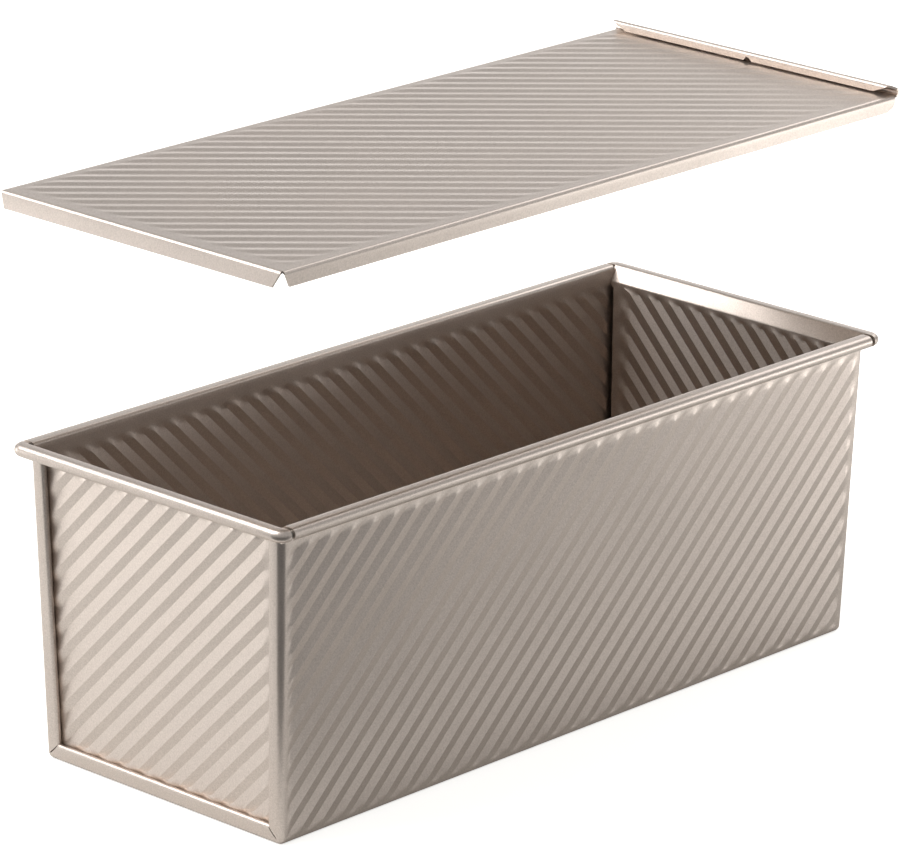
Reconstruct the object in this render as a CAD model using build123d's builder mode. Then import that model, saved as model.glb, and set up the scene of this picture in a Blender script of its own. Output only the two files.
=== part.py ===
from build123d import *
import os
from math import atan, ceil, cos, degrees, hypot, radians, sin, tan

os.makedirs("parts", exist_ok=True)

# A covered loaf pan folded from sheet steel. A wrapper makes the base and the long sides,
# an end panel is hooked into its folded edges at each end, the rim is rolled round a wire,
# and a flanged lid is held above the pan.
# X runs along the pan, Z is up, and the origin is the middle of the base.
# Driving dimensions, in millimetres and degrees

# Sheet and the gap left between folded layers
sheet = 0.8
fold_gap = 0.1

# Pan body, outside sizes at the rim
pan_length = 309
pan_width = 125
pan_height = 118.5
wall_lean = 3.4
edge_radius = 2.4

# Rolled rim
wire_diameter = 2.8
wire_slack = 0.05
wire_joint_gap = 0.4
rim_reach = 5.2
rim_bend = 0.6
roll_angle = 275
roll_notch = 1.6
flare_height = 5.8
flare_bend = 1
flare_seam_gap = 0.5

# Folded seam frame round each end panel
seam_width = 6.5
mitre_slit = 0.2
panel_corner_clip = 3.2

# Pressed ribs
rib_pitch = 7.4
rib_angle = 45
wall_rib_depth = 0.9
wall_rib_rise_share = 0.42
lid_rib_depth = 0.7
lid_rib_rise_share = 0.5
panel_rib_side_margin = 0.4
panel_rib_top_margin = 1.7
side_rib_base_margin = 0.8
side_rib_top_margin = 9

# Lid
lid_clearance = 0.4
lid_flange = 5.8
lid_bend = 0.6
side_flange_lean = 0.5
front_flange_lean = 1.4
front_corner_trim = 2.8
rear_corner_radius = 4.2
rear_overhang = 1.4
curl_bend = 1.1
curl_angle = 155
curl_width = 5.2
flap_foot_gap = 0.8
flap_end_trim = 8.3
flap_notch_radius = 1.5
lid_rib_left_margin = 4
lid_rib_right_margin = 8
lid_rib_front_margin = 10
lid_rib_rear_margin = 2
lid_seat_gap = 0.3
lid_lift = 91

# Cutters run this far past what they cut
overrun = 5

# Sizes worked out from those above
lean = atan(wall_lean / pan_height)
slope_height = pan_height / cos(lean)
base_length = pan_length - 2 * wall_lean
base_width = pan_width - 2 * wall_lean

# The bead is the rim's roll with the wire inside it
roll_bend = wire_diameter / 2 + wire_slack + sheet / 2
bead_radius = roll_bend + sheet / 2
bead_out = rim_reach - bead_radius
bead_level = pan_height - bead_radius
flange_level = pan_height - sheet / 2
flare_level = pan_height - flare_height
seam_top = flare_level - flare_seam_gap

# The seam holds four layers: wrapper lip, panel hook, wrapper return and the panel itself
fold_bend = sheet + fold_gap
panel_depth = 3 * fold_bend
seam_depth = panel_depth + sheet
lip_width = seam_width - fold_bend - sheet / 2
hook_end = lip_width - fold_gap
return_end = edge_radius + fold_gap

rim_length = pan_length + 2 * rim_reach
rim_width = pan_width + 2 * rim_reach
lid_corner = lid_bend + sheet
lid_half_width = rim_width / 2 + lid_clearance + side_flange_lean + sheet
lid_front = -rim_length / 2 - lid_clearance - sheet
lid_rear = rim_length / 2 + rear_overhang
lid_edge = lid_rear - curl_bend - sheet
lid_top = pan_height + lid_rib_depth / 2 + lid_seat_gap + lid_lift + sheet
lid_level = lid_top - sheet / 2
lid_underside = lid_top - sheet
lid_foot = lid_top - lid_flange


def wall_plane(azimuth, distance, depth=0):
    """Outer face of a leaning wall: X to the right seen from outside, Y up the slope."""
    out_x = cos(radians(azimuth))
    out_y = sin(radians(azimuth))
    face = Plane(
        origin=(distance * out_x, distance * out_y, 0),
        x_dir=(-out_y, out_x, 0),
        z_dir=(out_x * cos(lean), out_y * cos(lean), -sin(lean)),
    )
    return face.offset(-depth)


def wall_outline(base_size, inset, bottom, top):
    """Corners of a wall's outline on its slope, drawn in from both upright sides by inset."""
    side_tilt = atan(wall_lean / slope_height)
    half = base_size / 2 - inset / cos(side_tilt)
    low = half + bottom * tan(side_tilt)
    high = half + top * tan(side_tilt)
    return [(-high, top), (-low, bottom), (low, bottom), (high, top)]


def sheet_middle(base_size, depth, height):
    """Distance from the pan's middle to the middle of a leaning sheet at one height."""
    return base_size / 2 + height * tan(lean) - (depth + sheet / 2) / cos(lean)


def outline_block(plane, outline, depth):
    """Block that stands on both sides of a plane."""
    with BuildPart() as block:
        with BuildSketch(plane):
            with BuildLine():
                Polyline(*outline, close=True)
            make_face()
        extrude(amount=depth, both=True)
    return block.part


def ribbed_sheet(plane, outline, depth, angle, rise_share):
    """Sheet pressed into slanting ribs and cut to an outline drawn on its outer face."""
    centre_x = sum(x for x, y in outline) / len(outline)
    centre_y = sum(y for x, y in outline) / len(outline)
    reach = max(hypot(x - centre_x, y - centre_y) for x, y in outline)
    centre = plane.from_local_coords(Vector(centre_x, centre_y))
    along = plane.x_dir * cos(radians(angle)) + plane.y_dir * sin(radians(angle))
    across = plane.y_dir * cos(radians(angle)) - plane.x_dir * sin(radians(angle))
    count = ceil(reach / rib_pitch) + 1
    crest = []
    for step in range(-count, count):
        crest.append((step * rib_pitch, -depth / 2))
        crest.append(((step + rise_share) * rib_pitch, depth / 2))
    crest.append((count * rib_pitch, -depth / 2))
    under = [(place, level - sheet) for place, level in reversed(crest)]
    with BuildPart() as ribbed:
        with BuildSketch(Plane(origin=centre, x_dir=across, z_dir=along)):
            with BuildLine():
                Polyline(*crest, *under, close=True)
            make_face()
        extrude(amount=reach, both=True)
        add(outline_block(plane, outline, sheet + depth), mode=Mode.INTERSECT)
    return ribbed.part


def folded_edge(start, depth, turn, run_end):
    """Sheet edge folded back on itself, swept round the rear end's frame with mitred corners."""
    face = wall_plane(0, base_length / 2)
    with BuildPart() as folded:
        with BuildLine(face) as route:
            Polyline(*wall_outline(base_width, 0, 0, seam_top / cos(lean)))
        heading = route.line % 0
        inwards = Vector(face.z_dir).cross(heading)
        with BuildSketch(Plane(origin=route.line @ 0, x_dir=inwards, z_dir=heading)):
            with BuildLine():
                lead = Line((start - turn * sheet, -depth), (start, -depth))
                bend = JernArc(lead @ 1, lead % 1, fold_bend, -180)
                Line(bend @ 1, (run_end, (bend @ 1).Y))
            trace(line_width=sheet)
        sweep(path=route.line, transition=Transition.RIGHT)
    return folded.part


side_face = wall_plane(90, base_width / 2)
side_field = wall_outline(
    base_length,
    seam_depth + fold_gap,
    edge_radius + side_rib_base_margin,
    slope_height - side_rib_top_margin,
)
side_window = outline_block(side_face, side_field, sheet + wall_rib_depth)
side_ribs = ribbed_sheet(side_face, side_field, wall_rib_depth, rib_angle, wall_rib_rise_share)

# Upper wall and rolled rim of the left side, square to the leaning ends
with BuildPart() as side_rim:
    with BuildSketch(side_face):
        for inset, bottom in ((edge_radius, seam_top - edge_radius), (0, seam_top)):
            with BuildLine():
                Polyline(*wall_outline(base_length, inset, bottom, slope_height - edge_radius), close=True)
            make_face()
    extrude(amount=-sheet)
    with BuildSketch(Plane.YZ):
        with BuildLine():
            edge = FilletPolyline(
                (sheet_middle(base_width, 0, flare_level), flare_level),
                (sheet_middle(base_width, 0, flange_level), flange_level),
                (pan_width / 2 + bead_out, flange_level),
                radius=rim_bend + sheet / 2,
            )
            JernArc(edge @ 1, edge % 1, roll_bend, -roll_angle)
        trace(line_width=sheet)
    extrude(amount=pan_length / 2 - roll_notch, both=True)

end_face = wall_plane(0, base_length / 2)
end_window = outline_block(
    end_face,
    wall_outline(base_width, lip_width, lip_width, slope_height),
    seam_depth,
)
wrapper_hem = folded_edge(lip_width, sheet / 2, 1, return_end)

# Slits where the folded strips meet at the bottom corners of the rear end
with BuildPart() as mitre_cuts:
    with BuildSketch(end_face):
        slit_start = wall_outline(base_width, edge_radius, edge_radius, slope_height)
        slit_end = wall_outline(base_width, seam_width + sheet, seam_width + sheet, slope_height)
        for corner in (1, 2):
            with BuildLine():
                Line(slit_start[corner], slit_end[corner])
            trace(line_width=mitre_slit)
    extrude(amount=panel_depth, both=True)

# Wrapper: base, long sides, and the lips that fold over the end panels
with BuildPart() as pan_body:
    with BuildSketch():
        Rectangle(base_length, base_width)
    extrude(amount=seam_top, taper=-degrees(lean))
    edges_by_level = pan_body.edges().group_by(Axis.Z)
    fillet(edges_by_level[1] + edges_by_level[0], edge_radius)
    offset(amount=-sheet, openings=pan_body.faces().sort_by(Axis.Z)[-1])
    for half_turn in (0, 180):
        turned = (0, 0, half_turn)
        add(side_window, rotation=turned, mode=Mode.SUBTRACT)
        add(end_window, rotation=turned, mode=Mode.SUBTRACT)
        add(side_ribs, rotation=turned)
        add(side_rim.part, rotation=turned)
        add(wrapper_hem, rotation=turned)
        add(mitre_cuts.part, rotation=turned, mode=Mode.SUBTRACT)
pan_body.part.label = "pan_body"
export_step(pan_body.part, "parts/pan_body.step")

# Rear panel's rolled rim, carried round both corners of the pan
with BuildPart() as end_rim:
    with BuildSketch(Plane.XZ.offset(-pan_width / 2)) as rim_section:
        with BuildLine():
            edge = Line((pan_length / 2 + fold_gap, flange_level), (pan_length / 2 + bead_out, flange_level))
            JernArc(edge @ 1, edge % 1, roll_bend, -roll_angle)
        trace(line_width=sheet)
    extrude(amount=pan_width / 2)
    corner_axis = Axis((pan_length / 2, pan_width / 2, 0), (0, 0, 1))
    revolve(rim_section.sketch, axis=corner_axis, revolution_arc=90)
    mirror(about=Plane.XZ)

panel_face = wall_plane(0, base_length / 2, panel_depth)
panel_field = wall_outline(
    base_width,
    seam_width + panel_rib_side_margin,
    seam_width + panel_rib_side_margin,
    flare_level - panel_rib_top_margin,
)
panel_window = outline_block(panel_face, panel_field, sheet + wall_rib_depth)
panel_ribs = ribbed_sheet(panel_face, panel_field, wall_rib_depth, rib_angle, wall_rib_rise_share)
panel_hook = folded_edge(edge_radius, panel_depth + sheet / 2, -1, hook_end)

# End panel: ribbed plate hooked into the wrapper's fold, flared out into its rim
with BuildPart() as end_panel:
    with BuildSketch(panel_face):
        with BuildLine():
            Polyline(*wall_outline(base_width, edge_radius, edge_radius, seam_top), close=True)
        make_face()
    extrude(amount=-sheet)
    add(panel_window, mode=Mode.SUBTRACT)
    add(panel_ribs)
    add(panel_hook)
    with BuildSketch(end_face):
        for side in (-1, 1):
            with BuildLine():
                Polyline(
                    (side * base_width / 2, 0),
                    (side * base_width / 2, panel_corner_clip),
                    (side * (base_width / 2 - panel_corner_clip), 0),
                    close=True,
                )
            make_face()
    extrude(amount=seam_depth, both=True, mode=Mode.SUBTRACT)
    with BuildSketch(Plane.XZ):
        flare_start = seam_top - panel_rib_top_margin / 2
        with BuildLine():
            FilletPolyline(
                (sheet_middle(base_length, panel_depth, flare_start), flare_start),
                (sheet_middle(base_length, panel_depth, flare_level), flare_level),
                (pan_length / 2 + sheet / 2, flange_level),
                (pan_length / 2 + bead_out, flange_level),
                radius=(flare_bend, rim_bend + sheet / 2),
            )
        trace(line_width=sheet)
    extrude(amount=sheet_middle(base_width, 0, seam_top) - edge_radius, both=True)
    add(end_rim.part)

for name, half_turn in (("rear_end_panel", 0), ("front_end_panel", 180)):
    with BuildPart() as placed_panel:
        add(end_panel.part, rotation=(0, 0, half_turn))
    placed_panel.part.label = name
    export_step(placed_panel.part, f"parts/{name}.step")

# Wire inside the rolled rim, butted at the middle of the left side
with BuildPart() as rim_wire:
    wire_x = pan_length / 2 + bead_out
    wire_y = pan_width / 2 + bead_out
    with BuildLine(Plane.XY.offset(bead_level)) as ring:
        FilletPolyline(
            (wire_joint_gap / 2, wire_y),
            (wire_x, wire_y),
            (wire_x, -wire_y),
            (-wire_x, -wire_y),
            (-wire_x, wire_y),
            (-wire_joint_gap / 2, wire_y),
            radius=bead_out,
        )
    with BuildSketch(Plane(origin=ring.line @ 0, z_dir=ring.line % 0)):
        Circle(wire_diameter / 2)
    sweep(path=ring.line)
rim_wire.part.label = "rim_wire"
export_step(rim_wire.part, "parts/rim_wire.step")

lid_face = Plane.XY.offset(lid_top)
lid_field = [
    (lid_front + lid_rib_front_margin, lid_half_width - lid_rib_left_margin),
    (lid_front + lid_rib_front_margin, -lid_half_width + lid_rib_right_margin),
    (lid_edge - lid_rib_rear_margin, -lid_half_width + lid_rib_right_margin),
    (lid_edge - lid_rib_rear_margin, lid_half_width - lid_rib_left_margin),
]
lid_window = outline_block(lid_face, lid_field, sheet + lid_rib_depth)
lid_ribs = ribbed_sheet(lid_face, lid_field, lid_rib_depth, -rib_angle, lid_rib_rise_share)

# Lid: ribbed plate with flanges on three sides and a curled grip along the rear
with BuildPart() as lid:
    with BuildSketch(Plane.YZ.offset(lid_edge)):
        side_middle = lid_half_width - sheet / 2
        with BuildLine():
            FilletPolyline(
                (side_flange_lean - side_middle, lid_foot),
                (-side_middle, lid_level),
                (side_middle, lid_level),
                (side_middle - side_flange_lean, lid_foot),
                radius=lid_bend + sheet / 2,
            )
        trace(line_width=sheet)
    extrude(amount=lid_front + lid_corner - lid_edge)
    fillet(lid.edges().group_by(Axis.X)[-1].group_by(Axis.Z)[0], rear_corner_radius)
    add(lid_window, mode=Mode.SUBTRACT)
    add(lid_ribs)

    # Ends of the side flanges, trimmed back from the front corners
    with BuildSketch(Plane.XZ):
        with BuildLine():
            Polyline(
                (lid_front + lid_corner, lid_underside),
                (lid_front + lid_corner, lid_foot - overrun),
                (lid_front + lid_corner + front_corner_trim, lid_foot - overrun),
                (lid_front + lid_corner + front_corner_trim, lid_foot),
                close=True,
            )
        make_face()
    extrude(amount=lid_half_width, both=True, mode=Mode.SUBTRACT)

    # Front flange, trimmed at its ends in the same way
    with BuildSketch(Plane.XZ):
        front_middle = lid_front + sheet / 2
        with BuildLine():
            FilletPolyline(
                (front_middle - front_flange_lean, lid_foot),
                (front_middle, lid_level),
                (lid_front + lid_rib_front_margin / 2, lid_level),
                radius=lid_bend + sheet / 2,
            )
        trace(line_width=sheet)
    extrude(amount=lid_half_width - lid_corner, both=True)
    with BuildSketch(Plane.YZ.offset(lid_front)):
        for side in (-1, 1):
            with BuildLine():
                Polyline(
                    (side * (lid_half_width - lid_corner), lid_underside),
                    (side * (lid_half_width - lid_corner), lid_foot - overrun),
                    (side * (lid_half_width - lid_corner - front_corner_trim), lid_foot - overrun),
                    (side * (lid_half_width - lid_corner - front_corner_trim), lid_foot),
                    close=True,
                )
            make_face()
    extrude(amount=lid_corner + front_flange_lean, both=True, mode=Mode.SUBTRACT)

    # Grip: the rear edge curls up and forward to a ridge, and a flap hangs from it
    with BuildSketch(Plane.XZ):
        flap_middle = lid_rear - curl_width + sheet / 2
        flap_foot = lid_top + flap_foot_gap
        with BuildLine():
            lead = Line((lid_edge - sheet, lid_level), (lid_edge, lid_level))
            bend = JernArc(lead @ 1, lead % 1, curl_bend + sheet / 2, curl_angle)
            ridge = bend @ 1 + (bend % 1) * ((flap_middle - (bend @ 1).X) / (bend % 1).X)
            Polyline(bend @ 1, ridge, (flap_middle, flap_foot))
        trace(line_width=sheet)
    extrude(amount=lid_half_width, both=True)
    with BuildSketch(Plane.YZ.offset(flap_middle)):
        Circle(flap_notch_radius).moved(Location((0, flap_foot)))
        for side in (-1, 1):
            with BuildLine():
                Polyline(
                    (side * (lid_half_width + overrun), ridge.Y),
                    (side * lid_half_width, ridge.Y),
                    (side * (lid_half_width - flap_end_trim), flap_foot),
                    (side * (lid_half_width + overrun), flap_foot),
                    close=True,
                )
            make_face()
    extrude(amount=sheet, both=True, mode=Mode.SUBTRACT)
lid.part.label = "lid"
export_step(lid.part, "parts/lid.step")
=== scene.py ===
import math

import bmesh
import bpy
from mathutils import Matrix, Vector


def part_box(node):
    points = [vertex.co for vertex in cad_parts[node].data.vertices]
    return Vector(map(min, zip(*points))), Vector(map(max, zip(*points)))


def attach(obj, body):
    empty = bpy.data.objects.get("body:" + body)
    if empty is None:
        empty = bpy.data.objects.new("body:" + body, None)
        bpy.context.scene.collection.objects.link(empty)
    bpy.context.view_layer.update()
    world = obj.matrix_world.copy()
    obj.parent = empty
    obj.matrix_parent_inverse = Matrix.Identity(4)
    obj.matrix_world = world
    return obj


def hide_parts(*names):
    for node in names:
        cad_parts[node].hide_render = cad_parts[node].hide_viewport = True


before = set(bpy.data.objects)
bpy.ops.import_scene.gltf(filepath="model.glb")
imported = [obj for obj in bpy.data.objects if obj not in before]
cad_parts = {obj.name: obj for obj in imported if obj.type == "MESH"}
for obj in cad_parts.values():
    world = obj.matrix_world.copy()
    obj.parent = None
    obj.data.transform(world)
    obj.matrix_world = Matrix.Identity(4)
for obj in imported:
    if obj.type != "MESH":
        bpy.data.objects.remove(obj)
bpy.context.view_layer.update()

MM = 0.001

# Outer edges of the rim and the lid, read from the frame
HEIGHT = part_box("pan_body")[1][2]
RIM_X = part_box("rear_end_panel")[1][0]
RIM_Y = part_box("pan_body")[1][1]
LID_LOW, LID_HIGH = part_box("lid")

# Sheet, walls and rolled rim. Every sheet is shaped along its middle and then thickened.
SHEET = 0.8 * MM
HALF = SHEET / 2
FOLD_GAP = 0.1 * MM
LEAN_RUN = 3.4 * MM
LEAN = math.atan(LEAN_RUN / HEIGHT)
EDGE = 2.4 * MM
REACH = 5.2 * MM
BODY_X = RIM_X - REACH
BODY_Y = RIM_Y - REACH
BASE_X = BODY_X - LEAN_RUN
BASE_Y = BODY_Y - LEAN_RUN
RIM_BEND = 1.0 * MM
ROLL = 1.85 * MM
ROLL_TURN = -275
ROLL_STEPS = 22
BEAD_OUT = REACH - ROLL - HALF
FLARE_FOOT = HEIGHT - 5.8 * MM
SEAM_TOP = FLARE_FOOT - 0.5 * MM
ROLL_NOTCH = 1.6 * MM

# Folded seam, measured inwards from the end and from the side
FOLD = SHEET + FOLD_GAP
FOLD_STEPS = 10
LIP = 6.5 * MM - FOLD - HALF
RETURN_END = EDGE + FOLD_GAP
PANEL_DEPTH = 3 * FOLD
SLIT = 0.3 * MM

# Pressed ribs: pitch and depth, the share of a pitch that rises, the part of it over which a ridge
# is rounded, and the grid's steps in a pitch
PITCH = 7.4 * MM
WALL_RIB = 0.9 * MM
WALL_RIDGE = 0
SIDE_RISE = 5 / 9
SIDE_SAMPLES = 9
PANEL_RISE = 0.4
PANEL_SAMPLES = 10
LID_RIB = 0.6 * MM
LID_RISE = 0.5
LID_RIDGE = 0.45
LID_SAMPLES = 8

# Where the ribs stop: on the long side from its foot, top and ends, on an end panel from the
# seam and the flare, and on the lid from its edges
SIDE_RIB_FOOT = 3.2 * MM
SIDE_RIB_TOP = 9 * MM
SIDE_RIB_END = 3.2 * MM
SIDE_GRID_END = 4.5 * MM
PANEL_RIB_FOOT = (6.5 + 0.4) * MM
PANEL_RIB_TOP = 1.7 * MM
PANEL_GRID_SIDE = 7.5 * MM
LID_RIB_FRONT = 6.5 * MM
LID_RIB_REAR = 3 * MM
LID_RIB_RIGHT = 5 * MM
LID_RIB_LEFT = 4 * MM

# Lid
LID_LEVEL = LID_LOW[2] + 5.8 * MM - HALF
LID_FOOT = LID_LOW[2]
LID_SIDE = LID_HIGH[1]
LID_EDGE = LID_HIGH[0] - 1.9 * MM
LID_BEND = 1.0 * MM
SIDE_LEAN = 0.5 * MM
FRONT_LEAN = 1.4 * MM
LID_FRONT = LID_LOW[0] + FRONT_LEAN
CORNER_TRIM = 2.8 * MM
REAR_ROUND = 4.2 * MM
CURL = 1.5 * MM
CURL_TURN = 155
CURL_WIDTH = 5.2 * MM
FLAP_GAP = 0.8 * MM
FLAP_TRIM = 8.3 * MM
FLAP_NOTCH = 1.5 * MM
FLAP_RIDGE = 0.9 * MM

# Corners of a sheet nearer than this become one, and edges that turn more than this stay crisp
MERGE = 0.02 * MM
CREASE = math.radians(22)


def arc(centre, radius, start, turn, steps):
    """Points along an arc, from start and through turn, both in degrees."""
    points = []
    for step in range(steps + 1):
        angle = math.radians(start + turn * step / steps)
        points.append((centre[0] + radius * math.cos(angle), centre[1] + radius * math.sin(angle)))
    return points


def rounded(points, bends, steps=5):
    """A line through points in a plane, each inner corner rounded to its bend."""
    path = [tuple(points[0])]
    for before, corner, after, bend in zip(points, points[1:], points[2:], bends):
        corner = Vector(corner)
        arriving = (Vector(before) - corner).normalized()
        leaving = (Vector(after) - corner).normalized()
        half_angle = arriving.angle(leaving) / 2
        centre = corner + (arriving + leaving).normalized() * bend / math.sin(half_angle)
        reach = bend / math.tan(half_angle)
        start = corner + arriving * reach - centre
        end = corner + leaving * reach - centre
        for step in range(steps + 1):
            path.append(tuple(centre + start.lerp(end, step / steps).normalized() * bend))
    path.append(tuple(points[-1]))
    return path


def spread(low, high, count):
    """Places from low to high in count even steps."""
    return [low + (high - low) * step / count for step in range(count + 1)]


def soft_step(value):
    """Rises smoothly from 0 to 1 as value does."""
    value = min(max(value, 0), 1)
    return value * value * (3 - 2 * value)


def rib_height(across, depth, rise, ridge):
    """Height of a sheet pressed into ribs: flat facets that meet in rounded ridges."""
    place = across / PITCH % 1
    up, down = depth / rise, -depth / (1 - rise)

    def corner(distance, before, after, level):
        if abs(distance) >= ridge / 2:
            return level + (before if distance < 0 else after) * distance
        late = after * (distance + ridge / 2) ** 2
        early = before * (distance - ridge / 2) ** 2
        return level + (late - early) / (2 * ridge)

    if place < ridge / 2:
        return corner(place, down, up, -depth / 2)
    if place > 1 - ridge / 2:
        return corner(place - 1, down, up, -depth / 2)
    return corner(place - rise, up, down, depth / 2)


def end_x(z):
    """Where the leaning ends of the pan stand at a height."""
    return BASE_X + z * math.tan(LEAN)


def sheet_piece(name, columns, rows, place, keep, slant):
    """A sheet from a grid: place puts each corner and keep says which cells stay.

    Each cell is split along the way its ribs run, slant 1 or -1. The sheet then gets its thickness.
    """
    bm = bmesh.new()
    across = len(columns) - 1
    up = len(rows) - 1
    bmesh.ops.create_grid(bm, x_segments=across, y_segments=up, size=1)
    corners = {}
    for vertex in bm.verts:
        column = round((vertex.co.x + 1) / 2 * across)
        row = round((vertex.co.y + 1) / 2 * up)
        corners[vertex] = (column, row)
    dropped = []
    cells = []
    for face in bm.faces:
        column = min(corners[vertex][0] for vertex in face.verts)
        row = min(corners[vertex][1] for vertex in face.verts)
        if not keep(columns[column], columns[column + 1], rows[row], rows[row + 1]):
            dropped.append(face)
        pair = [vertex for vertex in face.verts
                if (sum(corners[vertex]) - column - row == 1) == (slant < 0)]
        cells.append((face, pair))
    for vertex, (column, row) in corners.items():
        vertex.co = place(columns[column], rows[row])
    gone = set(dropped)
    for face, pair in cells:
        if face not in gone:
            bmesh.utils.face_split(face, *pair)
    bmesh.ops.delete(bm, geom=dropped, context="FACES")
    bmesh.ops.remove_doubles(bm, verts=bm.verts, dist=MERGE)
    bmesh.ops.dissolve_degenerate(bm, dist=MERGE / 10, edges=bm.edges)
    thin = bpy.data.meshes.new(name + "_middle")
    bm.to_mesh(thin)
    bm.free()
    return thickened(name, thin)


def thickened(name, thin):
    """A piece with half the sheet on each side of a thin mesh, smooth but for its crisp edges."""
    piece = bpy.data.objects.new(name, thin)
    bpy.context.scene.collection.objects.link(piece)
    wall = piece.modifiers.new("sheet", "SOLIDIFY")
    wall.thickness = SHEET
    wall.offset = 0
    wall.use_even_offset = True
    wall.use_quality_normals = True
    shaped = piece.evaluated_get(bpy.context.evaluated_depsgraph_get())
    mesh = bpy.data.meshes.new_from_object(shaped)
    piece.modifiers.clear()
    piece.data = mesh
    mesh.shade_smooth()
    mesh.set_sharp_from_angle(angle=CREASE)
    return piece


def turned(piece, name):
    """A copy of a piece, turned half way round the pan's middle."""
    copy = bpy.data.objects.new(name, piece.data.copy())
    copy.data.transform(Matrix.Rotation(math.pi, 4, "Z"))
    bpy.context.scene.collection.objects.link(copy)
    return copy


def roll_line(body_half):
    """The rim's flat flange from its bend outwards, and the roll round the wire."""
    centre = (body_half + BEAD_OUT, HEIGHT - HALF - ROLL)
    return arc(centre, ROLL, 90, ROLL_TURN, ROLL_STEPS)


def wrapper_half():
    """Left half of the wrapper: half the base, a long side with its rim, and the folded strips."""
    step = PITCH * math.sqrt(2) / SIDE_SAMPLES
    slope = HEIGHT / math.cos(LEAN)
    seam_slope = SEAM_TOP / math.cos(LEAN)
    turn = 90 - math.degrees(LEAN)
    bend_reach = EDGE * math.tan(math.radians(turn) / 2)
    bend_y = BASE_Y - bend_reach
    rib_low = SIDE_RIB_FOOT
    rib_high = slope - SIDE_RIB_TOP
    rib_middle = (rib_low + rib_high) / 2

    # Columns run from the rear end to the front one: folded strip, corner bend, then the wall
    strip = [(FOLD + FOLD + HALF, RETURN_END)]
    strip += [(HALF + FOLD - u, v) for v, u in arc((LIP, 0), FOLD, -90, 180, FOLD_STEPS)]
    strip += [(HALF, EDGE + (LIP - EDGE) / 2)]
    strip += arc((EDGE, EDGE), EDGE - HALF, 180, 90, 6)
    bend_start = len(strip) - 7
    reach = math.floor((BASE_X - SIDE_GRID_END) / step)
    columns = [("strip", 1, u, v, index) for index, (u, v) in enumerate(strip)]
    columns += [("side", 1, share) for share in (0.25, 0.5, 0.75)]
    columns += [("wall", place * step) for place in range(reach, -reach - 1, -1)]
    columns += [("side", -1, share) for share in (0.75, 0.5, 0.25)]
    columns += [("strip", -1, u, v, index) for index, (u, v) in reversed(list(enumerate(strip)))]

    rows = [("base", y) for y in (0, bend_y / 2, bend_y - 8 * MM, bend_y - 4 * MM, bend_y)]
    rows += [("bend", angle) for angle in spread(0, turn, 6)]
    low = math.ceil((bend_reach + 0.4 * MM - rib_middle) / step)
    high = math.floor((seam_slope - 0.4 * MM - rib_middle) / step)
    rows += [("wall", rib_middle + place * step) for place in range(low, high + 1)]
    rows += [("wall", seam_slope), ("upper", seam_slope)]
    rows += [("upper", seam_slope + (slope - seam_slope) * share) for share in (0.25, 0.5)]
    wall_top = (BASE_Y + (HEIGHT - HALF) * math.tan(LEAN) - HALF / math.cos(LEAN), HEIGHT - HALF)
    wall_foot = (wall_top[0] - HEIGHT / 2 * math.tan(LEAN), wall_top[1] - HEIGHT / 2)
    bead = (BODY_Y + BEAD_OUT, HEIGHT - HALF)
    rows += [("rim", y, z) for y, z in rounded([wall_foot, wall_top, bead], [RIM_BEND])[1:-1]]
    rows += [("rim", y, z) for y, z in roll_line(BODY_Y)]

    def ribs(x, z, slope_place):
        """Rib height at a place on the wall, fading out towards the field's edges."""
        mask = soft_step((slope_place - EDGE) / (1.2 * MM))
        mask *= 1 - soft_step((slope_place - rib_high + 0.6 * MM) / (2.6 * MM))
        mask *= soft_step((end_x(z) - abs(x) - SIDE_RIB_END) / (1.4 * MM))
        across = (x + slope_place - rib_middle) * math.sqrt(0.5)
        return mask * rib_height(across, WALL_RIB, SIDE_RISE, WALL_RIDGE)

    def column_x(column, z):
        if column[0] == "wall":
            return column[1]
        sign = column[1]
        if column[0] == "strip":
            return sign * (end_x(z) - column[2] / math.cos(LEAN))
        start = end_x(z) - EDGE / math.cos(LEAN)
        return sign * (start + (reach * step - start) * column[2])

    def place(column, row):
        inset = column[3] if column[0] == "strip" else HALF
        in_strip = column[0] == "strip" and column[4] < bend_start
        mitre = inset * (1 - math.sin(LEAN)) / math.cos(LEAN)
        if row[0] == "base":
            y = row[1]
            if in_strip:
                limit = BASE_Y + mitre * math.sin(LEAN) - inset * math.cos(LEAN) - SLIT
                y = limit if y == bend_y else min(y, limit)
            return (column_x(column, inset), y, inset)
        if row[0] == "bend":
            angle = math.radians(row[1])
            y = bend_y + (EDGE - inset) * math.sin(angle)
            z = EDGE - (EDGE - inset) * math.cos(angle)
            return (column_x(column, z), y, z)
        if row[0] == "wall":
            slope_place = max(row[1], mitre + SLIT) if in_strip else row[1]
            z = slope_place * math.cos(LEAN) + inset * math.sin(LEAN)
            x = column_x(column, z)
            if column[0] != "strip":
                inset -= ribs(x, z, slope_place)
            y = BASE_Y + slope_place * math.sin(LEAN) - inset * math.cos(LEAN)
            return (x, y, slope_place * math.cos(LEAN) + inset * math.sin(LEAN))
        if row[0] == "upper":
            y = BASE_Y + row[1] * math.sin(LEAN) - HALF * math.cos(LEAN)
            z = row[1] * math.cos(LEAN) + HALF * math.sin(LEAN)
            if column[0] == "strip":
                share = (len(strip) - 1 - column[4]) / 6
                return (column[1] * (end_x(z) - EDGE * (1 - min(share, 1))), y, z)
            return (column_x(column, z), y, z)
        limit = BODY_X - ROLL_NOTCH
        return (min(max(column_x(column, HEIGHT), -limit), limit), row[1], row[2])

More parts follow.
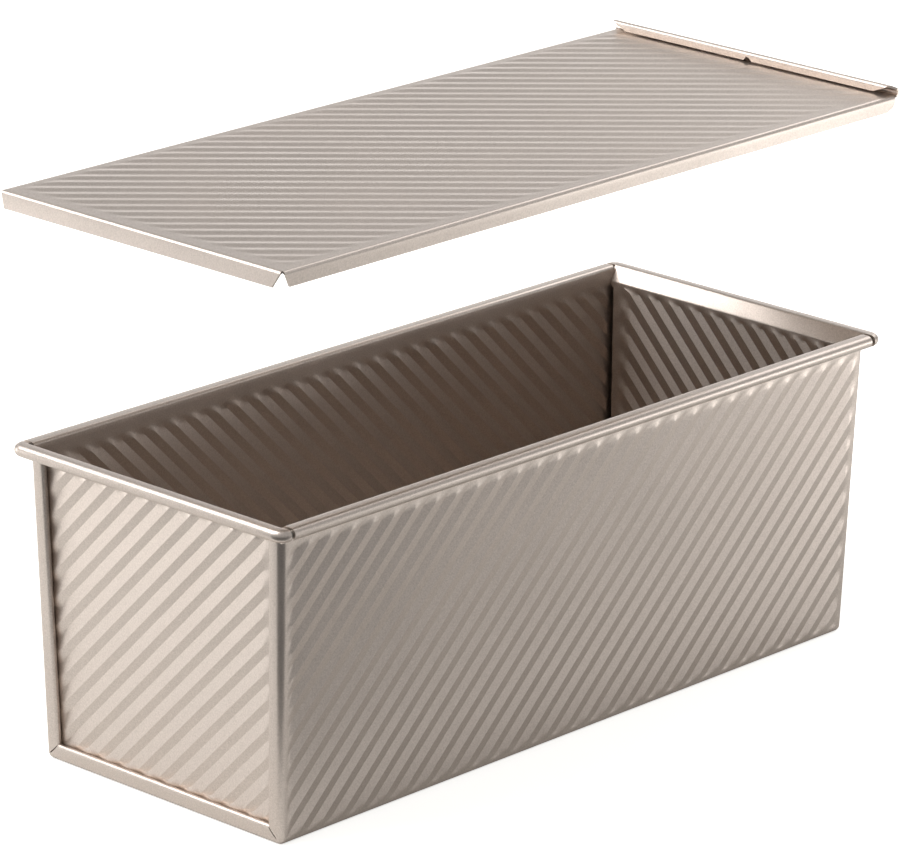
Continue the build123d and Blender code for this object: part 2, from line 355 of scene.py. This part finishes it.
    def keep(column, next_column, row, next_row):
        indexes = [each[4] for each in (column, next_column) if each[0] == "strip"]
        in_strip = len(indexes) == 2 and min(indexes) < bend_start
        in_bend = len(indexes) == 2
        if in_strip and (row[0] == "bend" or next_row[0] in ("bend", "upper", "rim")):
            return False
        if in_bend and row[0] == "wall" and next_row[0] == "upper":
            return False
        return True

    return sheet_piece("wrapper_left_half", columns, rows, place, keep, 1)


def end_panel():
    """Rear end panel: ribbed plate, flare and rolled rim that goes round both corners."""
    step = PITCH * math.sqrt(2) / PANEL_SAMPLES
    rib_low = PANEL_RIB_FOOT
    rib_high = FLARE_FOOT - PANEL_RIB_TOP
    rib_middle = (rib_low + rib_high) / 2
    depth = (PANEL_DEPTH + HALF) / math.cos(LEAN)
    reach = math.floor((BASE_Y - PANEL_GRID_SIDE) / step)
    columns = [("corner", 1, angle) for angle in spread(90, 0, 10)[:-1]]
    columns += [("side", 1, share) for share in (1, 0.66, 0.33)]
    columns += [("plate", place * step) for place in range(reach, -reach - 1, -1)]
    columns += [("side", -1, share) for share in (0.33, 0.66, 1)]
    columns += [("corner", -1, angle) for angle in spread(0, 90, 10)[1:]]

    low = math.ceil((EDGE + step / 2 - rib_middle) / step)
    high = math.floor((SEAM_TOP - 1.0 * MM - rib_middle) / step)
    rows = [("plate", EDGE)]
    rows += [("plate", rib_middle + place * step) for place in range(low, high + 1)]

    def plate_x(z):
        return end_x(z) - depth

    foot = SEAM_TOP - 0.85 * MM
    flare = [
        (plate_x(foot), foot),
        (plate_x(FLARE_FOOT), FLARE_FOOT),
        (BODY_X + HALF, HEIGHT - HALF),
        (BODY_X + BEAD_OUT, HEIGHT - HALF),
    ]
    section = rounded(flare, [RIM_BEND, RIM_BEND])[:-1]
    rows += [("flare", x, z) for x, z in section if x < BODY_X + FOLD_GAP]
    rows += [("rim", x, z) for x, z in section if x >= BODY_X + FOLD_GAP]
    rows += [("rim", x, z) for x, z in roll_line(BODY_X)]

    def ribs(y, z, slope_place):
        """Rib height at a place on the plate, flattened where it goes under the strips."""
        side = BASE_Y + z * math.tan(LEAN) - abs(y)
        mask = soft_step((slope_place - rib_low + 0.4 * MM) / (1.0 * MM))
        mask *= 1 - soft_step((slope_place - rib_high + 0.8 * MM) / (2.4 * MM))
        mask *= soft_step((side - rib_low + 0.5 * MM) / (0.5 * MM))
        across = (slope_place - rib_middle - y) * math.sqrt(0.5)
        return mask * rib_height(across, WALL_RIB, PANEL_RISE, WALL_RIDGE)

    def place(column, row):
        if row[0] == "plate":
            z = row[1] * math.cos(LEAN) + PANEL_DEPTH * math.sin(LEAN)
            width = BASE_Y + z * math.tan(LEAN) - EDGE
            x = plate_x(z)
        else:
            x, z = row[1], row[2]
            width = BODY_Y if row[0] == "rim" else BODY_Y - SHEET - 5 * FOLD_GAP
        if column[0] == "plate":
            y = column[1]
        elif column[0] == "side":
            y = column[1] * (reach * step + (width - reach * step) * column[2])
        else:
            angle = math.radians(column[2])
            away = max(x - BODY_X, 0)
            y = column[1] * (width + away * math.sin(angle))
            x = min(x, BODY_X) + away * math.cos(angle)
        if row[0] == "plate":
            height = ribs(y, z, row[1])
            return (x + height * math.cos(LEAN), y, z - height * math.sin(LEAN))
        return (x, y, z)

    def keep(column, next_column, row, next_row):
        at_corner = "corner" in (column[0], next_column[0])
        return row[0] == "rim" or not at_corner

    return sheet_piece("end_panel_rear", columns, rows, place, keep, -1)


def lid_sheet():
    """Lid: ribbed top, flanges on three sides, and the rear edge curled up into a grip."""
    step = PITCH * math.sqrt(2) / LID_SAMPLES
    middle_side = LID_SIDE - HALF
    middle_front = LID_FRONT + HALF
    ridge_x = LID_HIGH[0] - CURL_WIDTH + HALF
    ribs_front = LID_FRONT + LID_RIB_FRONT
    ribs_rear = ridge_x - LID_RIB_REAR
    ribs_right = -LID_SIDE + LID_RIB_RIGHT
    ribs_left = LID_SIDE - LID_RIB_LEFT
    middle_x = (ribs_front + ribs_rear) / 2
    middle_y = (ribs_right + ribs_left) / 2

    front = rounded(
        [
            (middle_front - FRONT_LEAN, LID_FOOT),
            (middle_front, LID_LEVEL),
            (middle_front + 9 * MM, LID_LEVEL),
        ],
        [LID_BEND],
    )[:-1]
    between = ((front[0][0] + front[1][0]) / 2, (front[0][1] + front[1][1]) / 2)
    front = [front[0], between] + front[1:]
    curl = arc((LID_EDGE, LID_LEVEL + CURL), CURL, -90, CURL_TURN, 12)
    rise = math.tan(math.radians(180 - CURL_TURN))
    ridge = (ridge_x, curl[-1][1] + (curl[-1][0] - ridge_x) * rise)
    flap_foot = LID_LEVEL + HALF + FLAP_GAP
    rear = rounded([curl[-1], ridge, (ridge_x, flap_foot)], [FLAP_RIDGE], 7)[1:]
    rear = rear[:-1] + [(ridge_x, (ridge[1] + flap_foot) / 2), (ridge_x, flap_foot)]

    # Columns run from the front flange over the top to the flap
    columns = [("front", x, z) for x, z in front[:-1]]
    columns += [("top", front[-1][0], LID_LEVEL)]
    low = math.ceil((front[-1][0] + 0.3 * MM - middle_x) / step)
    high = math.floor((LID_EDGE - 0.3 * MM - middle_x) / step)
    columns += [("top", middle_x + place * step, LID_LEVEL) for place in range(low, high + 1)]
    columns += [("top", LID_EDGE, LID_LEVEL)]
    columns += [("curl", x, z) for x, z in curl[1:]]
    columns += [("flap", x, z) for x, z in rear]

    # Rows run from the right flange's foot over the top to the left one's
    side = rounded(
        [(middle_side - SIDE_LEAN, LID_FOOT), (middle_side, LID_LEVEL), (0, LID_LEVEL)],
        [LID_BEND],
    )[:-1]
    run = side[1][0] - side[0][0]
    rise = side[1][1] - side[0][1]
    between = [(side[0][0] + run * share, side[0][1] + rise * share) for share in (0.25, 0.5, 0.75)]
    side = [side[0]] + between + side[1:]
    flat = side[-1][0]
    low = math.ceil((-flat + 0.3 * MM - middle_y) / step)
    high = math.floor((flat - 0.3 * MM - middle_y) / step)
    rows = [("flange", -y, z) for y, z in side[:-1]] + [("top", -flat, LID_LEVEL)]
    rows += [("top", middle_y + place * step, LID_LEVEL) for place in range(low, high + 1)]
    rows += [("top", flat, LID_LEVEL)] + [("flange", y, z) for y, z in reversed(side[:-1])]

    def trim(z):
        """How far a flange's end is cut back at a height."""
        return CORNER_TRIM * max(LID_LEVEL - HALF - z, 0) / (LID_LEVEL - LID_FOOT)

    def ribs(x, y):
        """Rib height at a place on the top, fading out towards the field's edges."""
        mask = soft_step((x - ribs_front) / (3 * MM)) * soft_step((ribs_rear - x) / (4 * MM))
        mask *= soft_step((y - ribs_right) / (3 * MM)) * soft_step((ribs_left - y) / (3 * MM))
        across = (x - middle_x + y - middle_y) * math.sqrt(0.5)
        return mask * rib_height(across, LID_RIB, LID_RISE, LID_RIDGE)

    def place(column, row):
        x, y, z = column[1], row[1], column[2]
        if row[0] == "flange":
            low_x = front[-1][0] + trim(row[2])
            high_x = LID_EDGE
            over = LID_FOOT + REAR_ROUND - row[2]
            if over > 0:
                high_x -= REAR_ROUND - math.sqrt(max(REAR_ROUND ** 2 - over ** 2, 0))
            return (min(max(x, low_x), high_x), y, row[2])
        if column[0] == "top":
            return (x, y, LID_LEVEL + ribs(x, y))
        limit = LID_SIDE
        if abs(y) > flat - MERGE:
            y = math.copysign(LID_SIDE, y)
        if column[0] == "front":
            limit = flat - trim(z)
        if column[0] == "flap":
            limit = LID_SIDE - FLAP_TRIM * (ridge[1] - z) / (ridge[1] - flap_foot)
            if abs(y) < FLAP_NOTCH:
                z = max(z, flap_foot + math.sqrt(FLAP_NOTCH ** 2 - y ** 2))
        return (x, min(max(y, -limit), limit), z)

    def keep(column, next_column, row, next_row):
        on_top = row[0] == "top" and next_row[0] == "top"
        return on_top or (column[0] == "top" and next_column[0] == "top")

    return sheet_piece("lid_sheet", columns, rows, place, keep, -1)


def linear(code):
    """A hex sRGB colour as the linear colour that a shader takes."""
    channels = [int(code[place:place + 2], 16) / 255 for place in (0, 2, 4)]
    return [c / 12.92 if c <= 0.04045 else ((c + 0.055) / 1.055) ** 2.4 for c in channels] + [1]


def add_node(tree, kind, settings=None, links=None):
    """A shader node with its settings and its inputs, which are values or other nodes' outputs."""
    node = tree.nodes.new(kind)
    for name, value in (settings or {}).items():
        setattr(node, name, value)
    for name, value in (links or {}).items():
        if isinstance(value, bpy.types.NodeSocket):
            tree.links.new(value, node.inputs[name])
        else:
            node.inputs[name].default_value = value
    return node


def material(name):
    """An empty material, its node tree and its output."""
    made = bpy.data.materials.new(name)
    made.use_nodes = True
    made.node_tree.nodes.clear()
    return made, made.node_tree, made.node_tree.nodes.new("ShaderNodeOutputMaterial")


def champagne_coated_steel():
    """Aluminised steel with a baked champagne coating: a satin metal, warm grey, finely grained."""
    # The grain is drawn at 0.55 mm, coarser than a baked coating's, so that it shows at the
    # photograph's distance. The cloud varies the gloss over about 40 mm.
    made, tree, output = material("champagne_coated_steel")
    place = add_node(tree, "ShaderNodeTexCoord").outputs["Object"]
    grain = add_node(tree, "ShaderNodeTexNoise", None,
                     {"Vector": place, "Scale": 1 / (0.55 * MM), "Detail": 3, "Roughness": 0.65})
    cloud = add_node(tree, "ShaderNodeTexNoise", None,
                     {"Vector": place, "Scale": 1 / (40 * MM), "Detail": 2})
    tint = add_node(tree, "ShaderNodeMix", {"data_type": "RGBA"},
                    {"Factor": grain.outputs["Fac"], "A": linear("AFA399"), "B": linear("EDE1D8")})
    gloss = add_node(tree, "ShaderNodeMapRange", None,
                     {"Value": cloud.outputs["Fac"], "From Min": 0.3, "From Max": 0.7,
                      "To Min": 0.36, "To Max": 0.42})
    bump = add_node(tree, "ShaderNodeBump", None,
                    {"Height": grain.outputs["Fac"], "Strength": 0.25, "Distance": 0.02 * MM})
    shader = add_node(tree, "ShaderNodeBsdfPrincipled", None,
                      {"Base Color": tint.outputs["Result"], "Metallic": 1,
                       "Roughness": gloss.outputs["Result"], "Normal": bump.outputs["Normal"]})
    tree.links.new(shader.outputs["BSDF"], output.inputs["Surface"])
    return made


def drawn_steel_wire():
    """Bare drawn steel wire: a plain grey metal, smooth along its length."""
    made, tree, output = material("drawn_steel_wire")
    place = add_node(tree, "ShaderNodeTexCoord").outputs["Object"]
    streaks = add_node(tree, "ShaderNodeTexNoise", None,
                       {"Vector": place, "Scale": 1 / (1.5 * MM), "Detail": 2})
    gloss = add_node(tree, "ShaderNodeMapRange", None,
                     {"Value": streaks.outputs["Fac"], "To Min": 0.3, "To Max": 0.5})
    shader = add_node(tree, "ShaderNodeBsdfPrincipled", None,
                      {"Base Color": linear("8F8C87"), "Metallic": 1,
                       "Roughness": gloss.outputs["Result"]})
    tree.links.new(shader.outputs["BSDF"], output.inputs["Surface"])
    return made


def by_ray(tree, seen, mirrored, otherwise):
    """One level for what the camera sees, one for what a gloss mirrors and one for the light."""
    path = add_node(tree, "ShaderNodeLightPath").outputs
    level = add_node(tree, "ShaderNodeMix", None,
                     {"Factor": path["Is Glossy Ray"], "A": otherwise, "B": mirrored})
    return add_node(tree, "ShaderNodeMix", None,
                    {"Factor": path["Is Camera Ray"], "A": level.outputs[0], "B": seen}).outputs[0]


def white_floor():
    """Pale matt floor, lifted to white for the camera, with the object's shadow left on it."""
    made, tree, output = material("white_floor")
    matt = add_node(tree, "ShaderNodeBsdfDiffuse", None, {"Color": linear("E8E8E6")})
    glow = add_node(tree, "ShaderNodeEmission", None,
                    {"Color": linear("FFFFFD"), "Strength": by_ray(tree, *FLOOR_LIFT)})
    both = add_node(tree, "ShaderNodeAddShader", None, {0: glow.outputs[0], 1: matt.outputs[0]})
    tree.links.new(both.outputs[0], output.inputs["Surface"])
    return made


def studio():
    """Floor, white surroundings and soft lamps."""
    bm = bmesh.new()
    bmesh.ops.create_grid(bm, x_segments=1, y_segments=1, size=FLOOR_SIZE)
    ahead = Vector((math.sin(math.radians(VIEW[0])), math.cos(math.radians(VIEW[0])), 0))
    everything = bm.verts[:] + bm.edges[:] + bm.faces[:]
    bmesh.ops.bisect_plane(bm, geom=everything, plane_co=ahead * TABLE_EDGE, plane_no=ahead,
                           clear_inner=True)
    mesh = bpy.data.meshes.new("floor")
    bm.to_mesh(mesh)
    bm.free()
    floor = bpy.data.objects.new("floor", mesh)
    bpy.context.scene.collection.objects.link(floor)
    mesh.materials.append(white_floor())

    world = bpy.data.worlds.new("white_surroundings")
    bpy.context.scene.world = world
    world.use_nodes = True
    tree = world.node_tree
    tree.nodes.clear()
    toward = add_node(tree, "ShaderNodeTexCoord").outputs["Generated"]
    height = add_node(tree, "ShaderNodeSeparateXYZ", None, {0: toward}).outputs["Z"]
    seen, mirrored, otherwise = WORLD_LEVEL
    fading = add_node(tree, "ShaderNodeMapRange", None,
                      {"Value": height, "From Min": -0.12, "From Max": 0,
                       "To Min": ROOM_LEVEL, "To Max": mirrored})
    level = by_ray(tree, seen, fading.outputs[0], otherwise)
    sky = add_node(tree, "ShaderNodeBackground", None,
                   {"Color": linear("FFFFFF"), "Strength": level})
    output = tree.nodes.new("ShaderNodeOutputWorld")
    tree.links.new(sky.outputs[0], output.inputs["Surface"])

    for name, place, size, radiance in LAMPS:
        data = bpy.data.lights.new(name, "AREA")
        data.shape = "RECTANGLE"
        data.size, data.size_y = size
        data.energy = radiance * math.pi * size[0] * size[1]
        lamp = bpy.data.objects.new(name, data)
        lamp.location = place
        aim = Vector((0, 0, HEIGHT / 2)) - Vector(place)
        lamp.rotation_euler = aim.to_track_quat("-Z", "Y").to_euler()
        bpy.context.scene.collection.objects.link(lamp)


def camera():
    """The photograph's view, as a long lens sees it from the front left."""
    azimuth, elevation, roll = (math.radians(angle) for angle in VIEW)
    back = Vector((
        -math.sin(azimuth) * math.cos(elevation),
        -math.cos(azimuth) * math.cos(elevation),
        math.sin(elevation),
    ))
    across = Vector((0, 0, 1)).cross(back).normalized()
    up = back.cross(across)
    right = across * math.cos(roll) + up * math.sin(roll)
    up = up * math.cos(roll) - across * math.sin(roll)
    data = bpy.data.cameras.new("photograph_view")
    data.lens = LENS
    data.clip_end = 100
    view = bpy.data.objects.new("photograph_view", data)
    view.matrix_world = Matrix((
        (right.x, up.x, back.x, EYE[0]),
        (right.y, up.y, back.y, EYE[1]),
        (right.z, up.z, back.z, EYE[2]),
        (0, 0, 0, 1),
    ))
    bpy.context.scene.collection.objects.link(view)
    bpy.context.scene.camera = view


# Camera: azimuth, elevation and roll in degrees, place in metres and lens in millimetres
VIEW = (46.909, 18.46, 0.688)
EYE = (-1.4499, -1.3516, 0.7631)
LENS = 230

# The floor, which ends just in front of the pan, in metres
FLOOR_SIZE = 6
TABLE_EDGE = -0.215

# Levels for the camera, for reflections and for the light itself, 1 being white. Below the floor's
# level a reflection shows the room, which is dim.
FLOOR_LIFT = (0.7, 0.02, 0)
WORLD_LEVEL = (1, 0.46, 0.44)
ROOM_LEVEL = 0.12

# Lamps: place and size in metres, and how bright each looks in a mirror
LAMPS = [
    ("key_softbox", (-0.8, 0.7, 1.45), (1.1, 1.1), 6.4),
    ("back_left_softbox", (-0.98, 1.72, 0.17), (0.9, 0.32), 6.2),
    ("back_right_softbox", (1.6, 1.5, 0.35), (2.4, 0.7), 1.25),
    ("right_softbox", (1.0, 0.1, 1.05), (0.8, 0.8), 1.8),
    ("front_right_softbox", (0.5, -0.43, 0.085), (0.26, 0.17), 3.0),
]

coated = champagne_coated_steel()
wire = drawn_steel_wire()

wrapper_left = wrapper_half()
pieces = [
    (wrapper_left, "pan", "pan_body"),
    (turned(wrapper_left, "wrapper_right_half"), "pan", "pan_body"),
]
rear = end_panel()
pieces += [
    (rear, "pan", "rear_end_panel"),
    (turned(rear, "end_panel_front"), "pan", "front_end_panel"),
    (lid_sheet(), "lid", "lid"),
]
for piece, body, node in pieces:
    piece.data.materials.clear()
    piece.data.materials.append(coated)
    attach(piece, body)
    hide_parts(node)
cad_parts["rim_wire"].data.materials.clear()
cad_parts["rim_wire"].data.materials.append(wire)

studio()
camera()
bpy.context.scene.view_settings.view_transform = "Standard"
